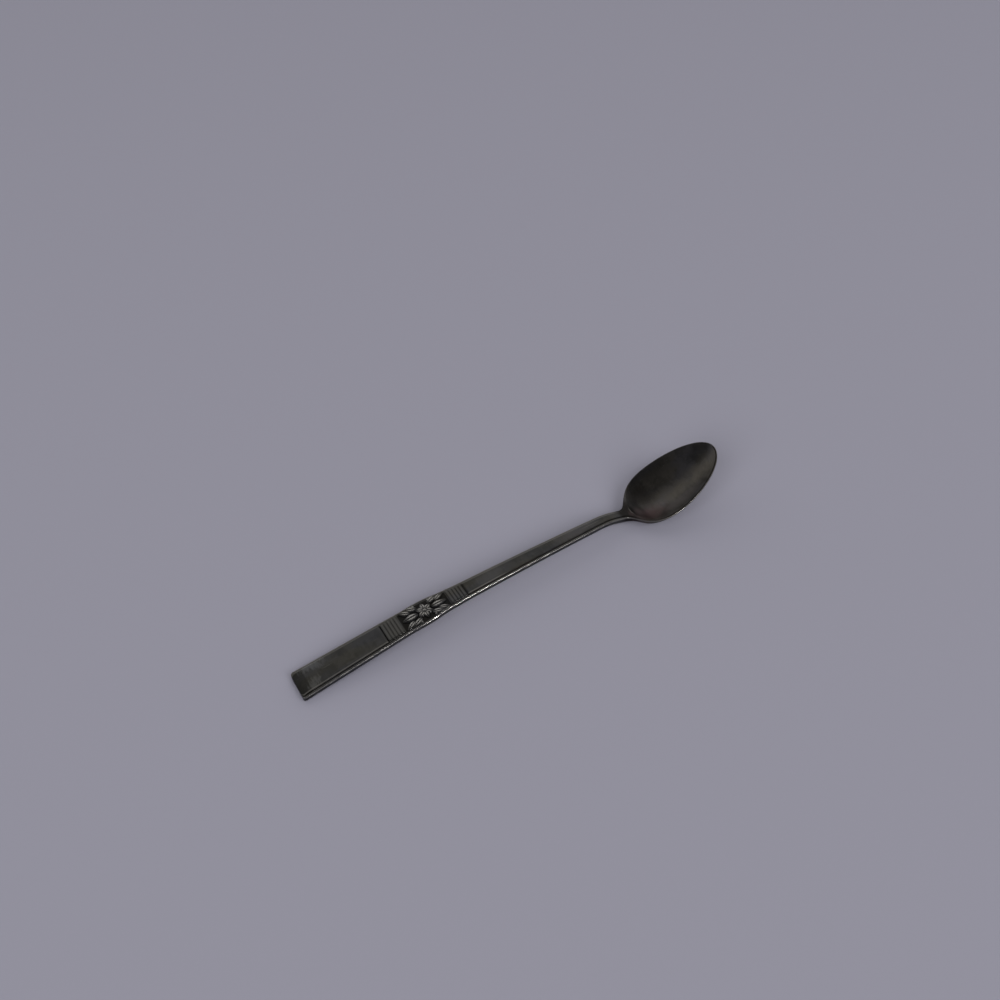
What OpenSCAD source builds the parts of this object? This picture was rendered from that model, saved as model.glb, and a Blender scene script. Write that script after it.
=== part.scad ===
// Long-handled teaspoon in tarnished silver plate.
// X runs from the handle end to the bowl tip, Y across and Z up. It rests on the plane z = 0.

/* [Overall] */
// Length from the handle end to the tip of the bowl
length = 190; // [160:1:230]

/* [Handle] */
// Width across the handle end
end_width = 12.5; // [10.6:0.1:16]
// Width where the ornament starts
waist_width = 10.3; // [8.6:0.1:12.6]
// Width where the stem starts
stem_width = 7.9; // [6.6:0.1:9.8]
// Width of the neck at its narrowest
neck_width = 4.8; // [4:0.1:6]
// Thickness of the handle
thickness = 3.0; // [2.4:0.1:3.8]
// Rise of the flat end panel, in degrees
end_slope = 6.9; // [5:0.1:9]
// Rise of the handle where the stem starts, in degrees
stem_slope = 0.9; // [0.6:0.1:3]
// Fall of the handle where the neck starts, in degrees
neck_slope = 1.9; // [0.4:0.1:3]
// Length of the flat end panel
terminal_length = 36; // [28:0.5:46]
// Radius of the two corners at the handle end
corner_radius = 1.3; // [0.6:0.1:2.4]
// Length over which the panel rolls down at the handle end
roll_length = 3.4; // [2:0.1:5]
// Drop of the panel at the handle end
roll_drop = 0.7; // [0.3:0.05:0.9]

/* [Edge thread] */
// Distance from the side of the handle to the edge of its raised panel
thread_width = 1.15; // [0.9:0.05:1.4]
// Drop of the thread below the panel
thread_drop = 0.16; // [0.1:0.02:0.24]
// Flat along the top of the thread
thread_flat = 0.35; // [0.2:0.05:0.4]
// Width of the groove between thread and panel
groove_width = 0.4; // [0.2:0.05:0.45]
// Depth of the groove
groove_depth = 0.3; // [0.25:0.01:0.4]
// Height of the rounded edges of the sides
side_round = 0.8; // [0.65:0.05:0.85]

/* [Reeding] */
// Reeds in each band
reed_count = 5; // [3:1:7]
// Distance from reed to reed
reed_pitch = 1.36; // [1.1:0.02:1.64]
// Plain strip before and after the reeds
reed_margin = 0.4; // [0.2:0.05:0.8]
// Height of a reed above its ground
reed_height = 0.35; // [0.2:0.01:0.45]

/* [Ornament] */
// Length of the ornament
ornament_length = 19.8; // [18:0.2:24]
// Swelling of each side of the handle at the ornament
ornament_swell = 0.45; // [0:0.05:0.6]
// Depth of the ornament's ground below the panel
ground_drop = 0.45; // [0.35:0.05:0.6]
// Height of the leaves above their ground
leaf_height = 0.75; // [0.5:0.05:0.9]
// Length of the leaf on the centre line
leaf_length = 6.8; // [5.4:0.1:7.2]
// Width of the leaf on the centre line
leaf_width = 3.4; // [2.6:0.1:4]
// Length of a side leaf
side_leaf_length = 5.6; // [4.5:0.1:6]
// Width of a side leaf
side_leaf_width = 2.7; // [2:0.1:3]
// Angle of a side leaf to the centre line
side_leaf_angle = 20; // [14:1:26]
// Petals of the rosette
petal_count = 6; // [5:1:8]
// Radius of the rosette
rosette_radius = 3.7; // [3:0.1:4]
// Width of a petal
petal_width = 2.6; // [1.8:0.1:2.8]
// Radius of the boss in the rosette
boss_radius = 1.1; // [0.8:0.05:1.3]
// Radius of the berries beside the rosette
berry_radius = 0.6; // [0.4:0.05:0.7]

/* [Bowl] */
// Length of the bowl from heel to tip
bowl_length = 41.2; // [36:0.1:53]
// Width of the bowl across its rim
bowl_width = 26.4; // [21:0.1:31]
// Depth of the bowl below its rim
bowl_depth = 7.8; // [6.3:0.1:9.4]
// Wall at the bottom of the bowl
bowl_wall = 1.5; // [1.1:0.05:1.9]
// Distance from the heel to the widest place
widest_at = 16.5; // [14:0.1:22]
// Tilt of the rim, in degrees
bowl_tilt = 22; // [14:0.1:24]
// Hollow of the rim line, seen from the side
rim_sheer = 1.5; // [0.4:0.05:1.8]
// Width of the rim
rim_width = 0.95; // [0.8:0.05:1.2]
// Height of the rim's outer side
rim_height = 0.6; // [0.5:0.05:0.9]
// Length of the flare from the neck to the heel
flare = 4.0; // [3:0.1:5]
// Length of the neck
neck_length = 10.5; // [8:0.1:14]
// Added thickness of the neck at the heel
neck_swell = 0.5; // [0:0.05:0.8]
// Depth of the shoulders beside the heel
shoulder_depth = 1.3; // [0.8:0.05:1.8]

/* [Hidden] */
tarnish = [0.30, 0.29, 0.28];
// Reach of the shapes that cut others, and sides of a round shape
far = 120;
smooth = 96;
// Sections along the lofted stretches, and points across the bowl
ornament_steps = 16;
stem_steps = 16;
neck_steps = 14;
heel_steps = 22;
front_steps = 20;
bowl_across = 20;

// Rounding of the thread and the rim at the side
thread_round = 0.3;
rim_round = 0.2;
corner_inset = 0.08;
// The bowl's hollow follows this power of the distance from its middle
bowl_power = 2.15;
// The outline's curve runs straight on this far past the heel, and swells this far past it
heel_run = 2.0;
shoulder_run = 1.5;
// Share of the bowl's front that keeps its width, and bluntness of the tip
front_share = 0.52;
tip_share = 0.55;
// The flat of the back starts this far in from the side
back_round = 0.7;
// The neck's bar runs on under the bowl for this length, and fades over this width beside itself
bar_run = 10;
bar_fade = 5;
// The shoulders run out over this length
shoulder_fade = 12;
// The bend into the bowl starts this far before the neck and ends this far past the heel,
// and this power of it keeps its start soft
neck_lead = 3.3;
blend_run = 5;
neck_power = 1.8;
// The thread turns into the rim from this far before the flare to this far past the heel
rim_lead = 4;
rim_run = 6;
// The foot of a leaf is sunk this far into its ground
leaf_foot = 0.1;
// Leaves of the outer pair: share of the inner pair's size, and added angle
outer_share = 0.9;
outer_angle = 6;
// Height of the boss as a share of its radius
boss_share = 0.75;

// Stations along the spoon, from the handle end
reeding_length = reed_count * reed_pitch + 2 * reed_margin;
x_rear = terminal_length;
x_ornament = x_rear + reeding_length;
x_front = x_ornament + ornament_length;
x_stem = x_front + reeding_length;
x_heel = length - bowl_length;
x_bowl = x_heel - flare;
x_neck = x_bowl - neck_length;

// Handle seen from above
function line(x, x0, v0, x1, v1) = v0 + (v1 - v0) * (x - x0) / (x1 - x0);
function half_width(x) =
    x < x_ornament ? line(x, 0, end_width, x_ornament, waist_width) / 2 :
    x < x_stem ? line(x, x_ornament, waist_width, x_stem, stem_width) / 2 + swelling(x) :
    line(min(x, x_bowl), x_stem, stem_width, x_bowl, neck_width) / 2;
function swelling(x) =
    x < x_front ? ornament_swell * pow(sin(180 * (x - x_ornament) / ornament_length), 2) : 0;
end_taper = atan((end_width - waist_width) / 2 / x_ornament);
waist_taper = atan((waist_width - stem_width) / 2 / (x_stem - x_ornament));

// Handle seen from the side: straight, arc, straight, arc, straight
function arc_radius(run, a0, a1) = run / (sin(a0) - sin(a1));
function arc_rise(run, a0, r) = sqrt(r * r - pow(run - r * sin(a0), 2)) - r * cos(a0);
ornament_arc = arc_radius(ornament_length, end_slope, stem_slope);
stem_arc = arc_radius(x_neck - x_stem, stem_slope, -neck_slope);
z_end = thickness / cos(end_slope);
z_ornament = z_end + x_ornament * tan(end_slope);
z_front = z_ornament + arc_rise(ornament_length, end_slope, ornament_arc);
z_stem = z_front + reeding_length * tan(stem_slope);
z_neck = z_stem + arc_rise(x_neck - x_stem, stem_slope, stem_arc);
function handle_z(x) =
    x < x_ornament ? z_end + x * tan(end_slope) :
    x < x_front ? z_ornament + arc_rise(x - x_ornament, end_slope, ornament_arc) :
    x < x_stem ? z_front + (x - x_front) * tan(stem_slope) :
    x < x_neck ? z_stem + arc_rise(x - x_stem, stem_slope, stem_arc) :
    z_neck - (x - x_neck) * tan(neck_slope);
function ornament_slope(x) = asin(sin(end_slope) - (x - x_ornament) / ornament_arc);

// Bowl: its rim line is raised until the lowest place of the bowl is at z = 0
bowl_mid = x_heel + bowl_length / 2;
outer_depth = bowl_depth + bowl_wall - rim_height;
function fullness(u) = 1 - pow(min(1, abs(u)), bowl_power);
function roundness(x, share) =
    let (u = max(-1, min(1, (x - bowl_mid) / (bowl_length / 2))))
    fullness(sqrt(u * u + (1 - u * u) * share * share));
function rim_line(x) =
    let (t = (x - x_heel) / bowl_length)
    (x - x_heel) * tan(bowl_tilt) - 4 * rim_sheer * t * (1 - t);
bowl_low = min([for (i = [-100:100]) let (x = bowl_mid + i * bowl_length / 200)
    rim_line(x) - rim_height - outer_depth * fullness(i / 100)]);

// Edge line: the top of the handle, easing down into the rim
function ease(t) = let (c = max(0, min(1, t))) c * c * (3 - 2 * c);
function eased(x, x0, x1) = ease((x - x0) / (x1 - x0));
function into_bowl(x) = pow(eased(x, x_neck - neck_lead, x_heel + blend_run), neck_power);
function into_rim(x) = eased(x, x_bowl - rim_lead, x_heel + rim_run);
function edge_z(x) = let (m = into_bowl(x)) handle_z(x) * (1 - m) + (rim_line(x) - bowl_low) * m;

// Upper edge from the side inwards, as [distance in, drop]: a thread with its groove
// on the handle, and the rim on the bowl
handle_edge = [
    [0, side_round],
    [corner_inset, thread_drop + thread_round],
    [thread_width - groove_width - thread_flat, thread_drop],
    [thread_width - groove_width, thread_drop],
    [thread_width - groove_width / 2, groove_depth],
    [thread_width, 0]];
bowl_edge = [
    [0, rim_height - rim_round],
    [corner_inset, rim_round],
    [rim_width / 3, 0],
    [rim_width * 2 / 3, 0],
    [rim_width - corner_inset, corner_inset / 2],
    [rim_width, corner_inset]];
panel_edge = len(handle_edge) - 1;
function upper_edge(m) = handle_edge * (1 - m) + bowl_edge * m;

// Lower edge from the side inwards, as [distance in, height above the back]
back_edge = [[0, side_round - corner_inset], [back_round * 0.3, back_round * 0.35], [back_round, 0]];
back_last = len(back_edge) - 1;
function back_height(inset) = max(0, inset < back_edge[1].x
    ? line(inset, 0, back_edge[0].y, back_edge[1].x, back_edge[1].y)
    : line(inset, back_edge[1].x, back_edge[1].y, back_edge[2].x, 0));

// Depth of metal below the edge line: the neck's bar runs on under the heel of the bowl
function bar_depth(x, y) =
    let (inset = half_width(x) - abs(y),
        run = 1 - eased(x, x_heel, x_heel + bar_run),
        depth = thickness + neck_swell * eased(x, x_neck, x_heel))
    inset >= 0 ? run * (depth - back_height(inset))
    : run * max(0, (depth - back_edge[0].y) * (1 + inset / bar_fade));
function outer_drop(x, y, share) =
    let (shoulder = shoulder_depth * (1 - eased(x, x_heel, x_heel + shoulder_fade)),
        bowl = into_bowl(x) * (rim_height + shoulder) + outer_depth * roundness(x, share))
    pow(pow(bar_depth(x, y), 4) + pow(bowl, 4), 1 / 4);

// Ring of points round the section whose +Y side is at p; n points inwards from p
function inwards(p, n, d) = [p.x + n.x * d, p.y + n.y * d];
function top_point(p, n, e) = let (q = inwards(p, n, e.x)) [q.x, q.y, edge_z(q.x) - e.y];
function back_point(p, n, e) =
    let (q = inwards(p, n, e.x), share = p.y > 0 ? q.y / p.y : 1)
    [q.x, q.y, edge_z(q.x) - outer_drop(p.x, q.y, share)];
function mirrored(v) = [v.x, -v.y, v.z];
function half_ring(p, n) = concat(
    [for (e = upper_edge(into_rim(p.x))) top_point(p, n, e)],
    [for (e = back_edge) back_point(p, n, e)]);
function ring(p, n, across) =
    let (half = half_ring(p, n),
        inner = half[panel_edge],
        outer = half[panel_edge + 1 + back_last],
        shares = [for (k = [1:1:across - 1]) 1 - 2 * k / across])
    concat(
        [for (k = [0:panel_edge]) half[k]],
        [for (s = shares) [inner.x, s * inner.y, inner.z - bowl_depth * roundness(p.x, s)]],
        [for (k = [panel_edge:-1:0]) mirrored(half[k])],
        [for (k = [0:back_last]) mirrored(half[panel_edge + 1 + k])],
        [for (s = shares) let (y = -s * outer.y)
            [outer.x, y, edge_z(outer.x) - outer_drop(p.x, y, y / p.y)]],
        [for (k = [back_last:-1:0]) half[panel_edge + 1 + k]]);

// Place of each ring point in half_ring, where both halves meet at the tip of the bowl
function meeting(across) = concat(
    [for (k = [0:panel_edge]) k],
    [for (k = [1:1:across - 1]) panel_edge],
    [for (k = [panel_edge:-1:0]) k],
    [for (k = [0:back_last]) panel_edge + 1 + k],
    [for (k = [1:1:across - 1]) panel_edge + 1 + back_last],
    [for (k = [back_last:-1:0]) panel_edge + 1 + k]);

// Triangles between two rows of point numbers, without those that have shrunk to a line
function band(row, next) = [for (k = [0:len(row) - 1])
    let (j = (k + 1) % len(row))
    for (t = [[row[k], next[k], next[j]], [row[k], next[j], row[j]]])
        if (t[0] != t[1] && t[1] != t[2] && t[2] != t[0]) t];
function row(r, m) = [for (k = [0:m - 1]) r * m + k];
function reversed(list) = [for (k = [len(list) - 1:-1:0]) list[k]];

// Solid through rings of equal size, flat at both ends or closed by the tip's points
module loft(rings, tip = [], tip_row = []) {
    m = len(rings[0]);
    last = len(rings) - 1;
    sides = [for (r = [0:last - 1]) each band(row(r, m), row(r + 1, m))];
    end = len(tip) == 0 ? [reversed(row(last, m))]
        : band(row(last, m), [for (k = tip_row) (last + 1) * m + k]);
    polyhedron(concat([for (r = rings) each r], tip), concat([row(0, m)], sides, end));
}

// Stretch of handle between two stations, its panel sunk by drop
module handle_stretch(x0, x1, steps, drop = 0) {
    loft([for (k = [0:steps])
        let (x = x0 + (x1 - x0) * k / steps, r = ring([x, half_width(x)], [0, -1], 1))
        [for (i = [0:len(r) - 1]) i == panel_edge || i == panel_edge + 1 ? r[i] - [0, 0, drop] : r[i]]]);
}

// Straight bar that has the edge along its +Y side, its panel sunk by drop
module edge_bar(drop) {
    sunk = drop > groove_depth;
    edge = [for (k = [0:panel_edge - 2]) [-handle_edge[k].x, -handle_edge[k].y]];
    groove = [-handle_edge[panel_edge - 1].x, -(sunk ? drop : groove_depth)];
    panel = [-thread_width, -drop];
    back = [for (k = [back_last:-1:0]) [-back_edge[k].x, back_edge[k].y - thickness]];
    rotate([90, 0, 90])
        linear_extrude(far, center = true)
            polygon(concat([[-far, -thickness]], back, edge, [groove, panel, [-far, -drop]]));
}

// Tapered plate between two stations of a straight stretch
module plate(x0, x1, slope, taper, drop = 0) {
    intersection() {
        translate([x0, 0, handle_z(x0)])
            rotate([0, -slope, 0])
                intersection_for (side = [0, 1])
                    mirror([0, side, 0])
                        translate([0, half_width(x0), 0])
                            rotate([0, 0, -taper])
                                edge_bar(drop);
        translate([x0, -far / 2, -far / 2])
            cube([x1 - x0, far, far]);
    }
}

// Plate with reeds across its sunk panel
module reeding(x0, slope, taper) {
    x1 = x0 + reeding_length;
    radius = (reed_pitch * reed_pitch / 4 + reed_height * reed_height) / (2 * reed_height);
    plate(x0, x1, slope, taper, reed_height);
    intersection() {
        plate(x0, x1, slope, taper);
        for (k = [0:reed_count - 1]) {
            x = x0 + reed_margin + (k + 0.5) * reed_pitch;
            translate([x, 0, handle_z(x)])
                rotate([0, -slope, 0])
                    translate([0, 0, -radius])
                        rotate([90, 0, 0])
                            cylinder(r = radius, h = far, center = true, $fn = smooth);
        }
    }
}

// Leaf with a ridge along its middle, its foot sunk into the ground at z = 0
module leaf(long, wide) {
    ridge = (long * long / 4 + leaf_height * leaf_height) / (2 * leaf_height);
    apart = (long * long - wide * wide) / (4 * wide);
    radius = sqrt(ridge * ridge + apart * apart);
    intersection() {
        translate([0, -apart, leaf_height - ridge])
            sphere(radius, $fn = smooth);
        translate([0, apart, leaf_height - ridge])
            sphere(radius, $fn = smooth);
        translate([-long, -long, -leaf_foot])
            cube(2 * long);
    }
}

// Puts a motif on the ornament's ground, at a distance along it and to the side of its middle,
// closer to the centre line where the handle is narrower
module on_ground(along, aside) {
    middle = x_ornament + ornament_length / 2;
    x = middle + along;
    translate([x, aside * half_width(x) / half_width(middle), handle_z(x) - ground_drop])
        rotate([0, -ornament_slope(x), 0])
            children();
}

// Rosette of petals round a boss
module rosette() {
    petal_length = rosette_radius - boss_radius / 4;
    on_ground(0, 0) {
        for (k = [0:petal_count - 1])
            rotate([0, 0, (k + 0.5) * 360 / petal_count])
                translate([rosette_radius - petal_length / 2, 0, 0])
                    leaf(petal_length, petal_width);
        translate([0, 0, (boss_share - 1) * boss_radius])
            sphere(boss_radius, $fn = smooth);
    }
}

// Spray of leaves to one end of the rosette: one on the centre line, two pairs and two berries beside it
module spray(end) {
    reach = ornament_length / 2 - reed_margin;
    outer_length = outer_share * side_leaf_length;
    turn = side_leaf_angle + outer_angle;
    inner_x = rosette_radius + side_leaf_length / 6;
    outer_x = reach - outer_length / 2 * cos(turn);
    inner_y = (leaf_width + side_leaf_width) / 2 + leaf_foot;
    outer_y = outer_share * inner_y;
    on_ground(end * (reach - leaf_length / 2), 0)
        leaf(leaf_length, leaf_width);
    for (side = [-1, 1]) {
        on_ground(end * inner_x, side * inner_y)
            rotate([0, 0, end * side * side_leaf_angle])
                leaf(side_leaf_length, side_leaf_width);
        on_ground(end * outer_x, side * outer_y)
            rotate([0, 0, end * side * turn])
                leaf(outer_length, outer_share * side_leaf_width);
        on_ground(end * (rosette_radius - berry_radius), side * (inner_y + berry_radius))
            sphere(berry_radius, $fn = smooth);
    }
}

// Outline of the bowl's +Y side: neck to widest place for t to 1, and on to the tip at 2
half_bowl = bowl_width / 2;
x_widest = x_heel + widest_at;
front_length = length - x_widest;
heel_curve = [
    [x_bowl, neck_width / 2],
    [x_heel + heel_run, neck_width / 2],
    [x_heel + shoulder_run, half_bowl],
    [x_widest, half_bowl]];
front_curve = [
    [x_widest, half_bowl],
    [x_widest + front_share * front_length, half_bowl],
    [length, tip_share * half_bowl],
    [length, 0]];
function bezier(c, t) = let (s = 1 - t)
    s * s * s * c[0] + 3 * s * s * t * c[1] + 3 * s * t * t * c[2] + t * t * t * c[3];
function heading(c, t) = let (s = 1 - t, d = s * s * (c[1] - c[0]) + 2 * s * t * (c[2] - c[1])
    + t * t * (c[3] - c[2])) d / norm(d);
function outline(t) = t < 1 ? bezier(heel_curve, t) : bezier(front_curve, t - 1);
function outline_inward(t) =
    let (d = t < 1 ? heading(heel_curve, t) : heading(front_curve, t - 1)) [d.y, -d.x];

// Centres the spoon's length on the origin
module placed() {
    translate([-length / 2, 0, 0])
        color(tarnish)
            children();
}

// Flat panel at the handle end, with round corners and its end rolled down
module terminal() {
    inner = half_width(0) - corner_radius;
    roll_radius = (roll_length * roll_length + roll_drop * roll_drop) / (2 * roll_drop);
    placed() intersection() {
        plate(0, x_rear, end_slope, end_taper);
        translate([0, 0, -far / 2])
            linear_extrude(far) {
                translate([corner_radius, -far / 2])
                    square(far);
                translate([0, -inner])
                    square([2 * corner_radius, 2 * inner]);
                for (side = [-1, 1])
                    translate([corner_radius, side * inner])
                        circle(corner_radius, $fn = smooth);
            }
        translate([0, 0, z_end])
            rotate([0, -end_slope, 0])
                translate([roll_length, 0, 0])
                    union() {
                        translate([0, -far / 2, -far / 2])
                            cube(far);
                        translate([0, 0, -roll_radius])
                            rotate([90, 0, 0])
                                cylinder(r = roll_radius, h = far, center = true, $fn = smooth);
                    }
    }
}

// Band of reeds between the end panel and the ornament
module rear_reeding() {
    placed() reeding(x_rear, end_slope, end_taper);
}

// Arched ground with a rosette between two sprays of leaves
module ornament_panel() {
    placed() {
        handle_stretch(x_ornament, x_front, ornament_steps, ground_drop);
        rosette();
        spray(-1);
        spray(1);
    }
}

// Band of reeds between the ornament and the stem
module front_reeding() {
    placed() reeding(x_front, stem_slope, waist_taper);
}

// Slender arched stem
module stem() {
    placed() handle_stretch(x_stem, x_neck, stem_steps);
}

// Neck, bending down to the heel of the bowl
module neck() {
    placed() handle_stretch(x_neck, x_bowl, neck_steps);
}

// Bowl, lofted from the neck's section to its tip
module bowl() {
    times = concat(
        [for (k = [0:heel_steps - 1]) k / heel_steps],
        [for (k = [0:front_steps - 1]) 1 + k / front_steps]);
    placed() loft(
        [for (t = times) ring(outline(t), outline_inward(t), bowl_across)],
        half_ring(outline(2), outline_inward(2)),
        meeting(bowl_across));
}

terminal();
rear_reeding();
ornament_panel();
front_reeding();
stem();
neck();
bowl();
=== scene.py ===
import math

import bmesh
import bpy
import numpy as np
from mathutils import Matrix, Vector


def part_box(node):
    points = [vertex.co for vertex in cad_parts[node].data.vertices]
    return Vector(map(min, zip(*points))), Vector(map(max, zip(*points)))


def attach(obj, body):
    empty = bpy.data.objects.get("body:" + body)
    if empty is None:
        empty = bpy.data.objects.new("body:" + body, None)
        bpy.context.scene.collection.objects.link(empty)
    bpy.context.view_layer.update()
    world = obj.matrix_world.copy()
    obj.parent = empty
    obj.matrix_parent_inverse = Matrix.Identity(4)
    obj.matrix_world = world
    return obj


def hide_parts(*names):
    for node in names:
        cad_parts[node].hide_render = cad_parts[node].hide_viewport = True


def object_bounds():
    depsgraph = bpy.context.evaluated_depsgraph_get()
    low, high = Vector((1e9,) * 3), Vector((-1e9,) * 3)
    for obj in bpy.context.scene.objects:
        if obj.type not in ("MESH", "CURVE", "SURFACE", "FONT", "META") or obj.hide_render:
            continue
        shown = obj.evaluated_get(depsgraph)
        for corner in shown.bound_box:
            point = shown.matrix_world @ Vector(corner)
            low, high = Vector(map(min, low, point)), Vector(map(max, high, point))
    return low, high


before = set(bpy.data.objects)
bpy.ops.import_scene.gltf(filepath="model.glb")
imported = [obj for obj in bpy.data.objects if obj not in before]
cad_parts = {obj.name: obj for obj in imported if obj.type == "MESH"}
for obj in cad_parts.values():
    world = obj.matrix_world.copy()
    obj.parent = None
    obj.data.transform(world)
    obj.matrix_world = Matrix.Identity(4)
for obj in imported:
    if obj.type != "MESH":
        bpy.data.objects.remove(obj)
cad_low, cad_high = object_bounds()

mm = 0.001

# Handle
end_width = 12.5 * mm
waist_width = 10.3 * mm
ornament_swell = 0.45 * mm
stem_width = 7.9 * mm
neck_width = 4.8 * mm
thickness = 3.0 * mm
corner_radius = 1.3 * mm
end_round = 0.3 * mm
roll_length = 3.4 * mm
roll_drop = 0.7 * mm
thread_width = 1.15 * mm
end_slope = math.radians(6.9)
stem_slope = math.radians(0.9)
neck_slope = math.radians(1.9)

# Reeding and relief
reed_count = 5
reed_margin = 0.4 * mm
reed_height = 0.35 * mm
reed_overlap = 0.05 * mm
ground_drop = 0.45 * mm
leaf_size = Vector((6.8, 3.4, 0.75)) * mm
side_leaf_size = Vector((5.6, 2.7, 0.75)) * mm
side_leaf_angle = math.radians(20)
outer_share = 0.9
outer_angle = math.radians(6)
petal_count = 6
petal_width = 2.6 * mm
rosette_radius = 3.7 * mm
boss_radius = 1.1 * mm
boss_share = 0.75
berry_radius = 0.6 * mm
leaf_gap = 0.1 * mm
wall_run = 0.12 * mm

# Bowl, and the neck that runs into it
bowl_depth = 7.8 * mm
bowl_wall = 1.5 * mm
bowl_length = 41.2 * mm
widest_at = 16.5 * mm
rim_sheer = 1.5 * mm
rim_height = 0.6 * mm
flare = 4.0 * mm
neck_lead = 3.3 * mm
neck_swell = 0.5 * mm
blend_run = 5 * mm
rim_lead = 4 * mm
rim_run = 6 * mm
shoulder_depth = 1.3 * mm
shoulder_fade = 12 * mm
heel_run = 2.0 * mm
shoulder_run = 1.5 * mm
back_round = 0.7 * mm
side_round = 0.72 * mm
bar_run = 10 * mm
bar_fade = 5 * mm
front_share = 0.52
tip_share = 0.55
bowl_power = 2.15
neck_power = 1.8
back_power = 4
bowl_tilt = math.radians(22)

# Sections across each piece and along it, and places looked at for the bowl's lowest one
handle_across = 24
bowl_across = 72
reeding_steps = 8
ornament_steps = 40
stem_steps = 70
neck_steps = 48
heel_steps = 70
front_steps = 90
low_steps = 201

# Stations along the spoon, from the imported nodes
x_end = cad_low.x
x_tip = cad_high.x
x_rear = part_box("rear_reeding")[0].x
x_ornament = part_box("ornament_panel")[0].x
x_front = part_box("front_reeding")[0].x
x_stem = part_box("stem")[0].x
x_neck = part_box("neck")[0].x
x_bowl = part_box("bowl")[0].x
x_heel = x_bowl + flare
half_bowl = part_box("bowl")[1].y
ease_start = x_neck - neck_lead
ease_end = x_heel + blend_run
rim_start = x_bowl - rim_lead
rim_end = x_heel + rim_run


# Side view of the handle: straight, arc, straight, arc, straight
def arc_radius(run, start, stop):
    """Radius of an arc that turns from one slope to another over a run."""
    return run / (math.sin(start) - math.sin(stop))


def arc_rise(run, start, radius):
    """Height gained over a run from the start of an arc."""
    return np.sqrt(radius**2 - (run - radius * math.sin(start)) ** 2) - radius * math.cos(start)


ornament_arc = arc_radius(x_front - x_ornament, end_slope, stem_slope)
stem_arc = arc_radius(x_neck - x_stem, stem_slope, -neck_slope)
z_end = thickness / math.cos(end_slope)
z_ornament = z_end + (x_ornament - x_end) * math.tan(end_slope)
z_front = z_ornament + arc_rise(x_front - x_ornament, end_slope, ornament_arc)
z_stem = z_front + (x_stem - x_front) * math.tan(stem_slope)
z_neck = z_stem + arc_rise(x_neck - x_stem, stem_slope, stem_arc)


def handle_z(x):
    """Height of the handle's upper face."""
    if x < x_ornament:
        return z_end + (x - x_end) * math.tan(end_slope)
    if x < x_front:
        return z_ornament + arc_rise(x - x_ornament, end_slope, ornament_arc)
    if x < x_stem:
        return z_front + (x - x_front) * math.tan(stem_slope)
    if x < x_neck:
        return z_stem + arc_rise(x - x_stem, stem_slope, stem_arc)
    return z_neck - (x - x_neck) * math.tan(neck_slope)


def half_width(x):
    """Half the width of the handle, with a slight swell at the ornament."""
    places = [x_end, x_ornament, x_stem, x_bowl]
    plain = np.interp(x, places, [end_width / 2, waist_width / 2, stem_width / 2, neck_width / 2])
    along = min(1.0, max(0.0, (x - x_ornament) / (x_front - x_ornament)))
    return plain + ornament_swell * math.sin(math.pi * along) ** 2


# Bowl: a rim line with a hollow below it, lowest at the table
bowl_mid = x_heel + bowl_length / 2
outer_depth = bowl_depth + bowl_wall - rim_height


def ease(t):
    """Smooth step from 0 to 1."""
    c = min(1.0, max(0.0, t))
    return c * c * (3 - 2 * c)


def rim_line(x):
    """Height of the rim above the heel: tilted, with a sag between heel and tip."""
    t = (x - x_heel) / bowl_length
    return (x - x_heel) * math.tan(bowl_tilt) - 4 * rim_sheer * t * (1 - t)


def fullness(u):
    """Share of the full depth, this share of the way out from the middle."""
    return 1 - min(1.0, abs(u)) ** bowl_power


def roundness(x, share):
    """Share of the full depth at a station and a share of the half width."""
    u = max(-1.0, min(1.0, (x - bowl_mid) / (bowl_length / 2)))
    return fullness(math.sqrt(u * u + (1 - u * u) * share * share))


bowl_low, x_low = min(
    (rim_line(x) - rim_height - outer_depth * fullness((x - bowl_mid) / (bowl_length / 2)), x)
    for x in np.linspace(x_heel, x_tip, low_steps)
)


def into_bowl(x):
    """Share of the bowl in the edge line, from 0 on the stem to 1 past the heel."""
    return ease((x - ease_start) / (ease_end - ease_start)) ** neck_power


def into_rim(x):
    """Share of the rim in the section, from 0 on the neck to 1 past the heel."""
    return ease((x - rim_start) / (rim_end - rim_start))


def edge_z(x):
    """Height of the edge line, from the handle's upper face to the bowl's rim."""
    m = into_bowl(x)
    return handle_z(x) * (1 - m) + (rim_line(x) - bowl_low) * m


# Edge of the section, from the panel to the side. Each row: distance in from the side and drop below
# the edge line, both in millimetres, wear on the left side, wear on the right side, recess. The wear
# is partly painted sheen: the far, left thread is made lighter, and the right-hand panel lip, thread
# and rim carry painted highlights.
handle_edge = np.array([
    [1.95, 0.00, 0.00, 0.20, 0.0],
    [1.60, 0.00, 0.35, 0.60, 0.0],
    [1.22, 0.03, 0.52, 0.55, 0.1],
    [1.04, 0.28, 0.50, 0.00, 0.8],
    [0.86, 0.34, 0.50, 0.00, 0.8],
    [0.64, 0.27, 0.52, 0.35, 0.2],
    [0.34, 0.29, 0.56, 0.60, 0.0],
    [0.06, 0.56, 0.64, 0.85, 0.0],
    [0.00, 1.00, 0.10, 0.45, 0.0],
])
bowl_edge = np.array([
    [0.58, 0.24, 0.00, 0.00, 0.8],
    [0.54, 0.20, 0.00, 0.00, 0.8],
    [0.48, 0.16, 0.00, 0.00, 0.8],
    [0.42, 0.13, 0.00, 0.00, 0.7],
    [0.35, 0.10, 0.00, 0.00, 0.5],
    [0.27, 0.08, 0.00, 0.05, 0.2],
    [0.16, 0.08, 0.05, 0.30, 0.0],
    [0.04, 0.20, 0.10, 0.85, 0.0],
    [0.00, 0.43, 0.05, 0.35, 0.0],
])
for edge in (handle_edge, bowl_edge):
    edge[:, :2] *= mm
groove_rows = (3, 4)
rim_band = 0.07

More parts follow.
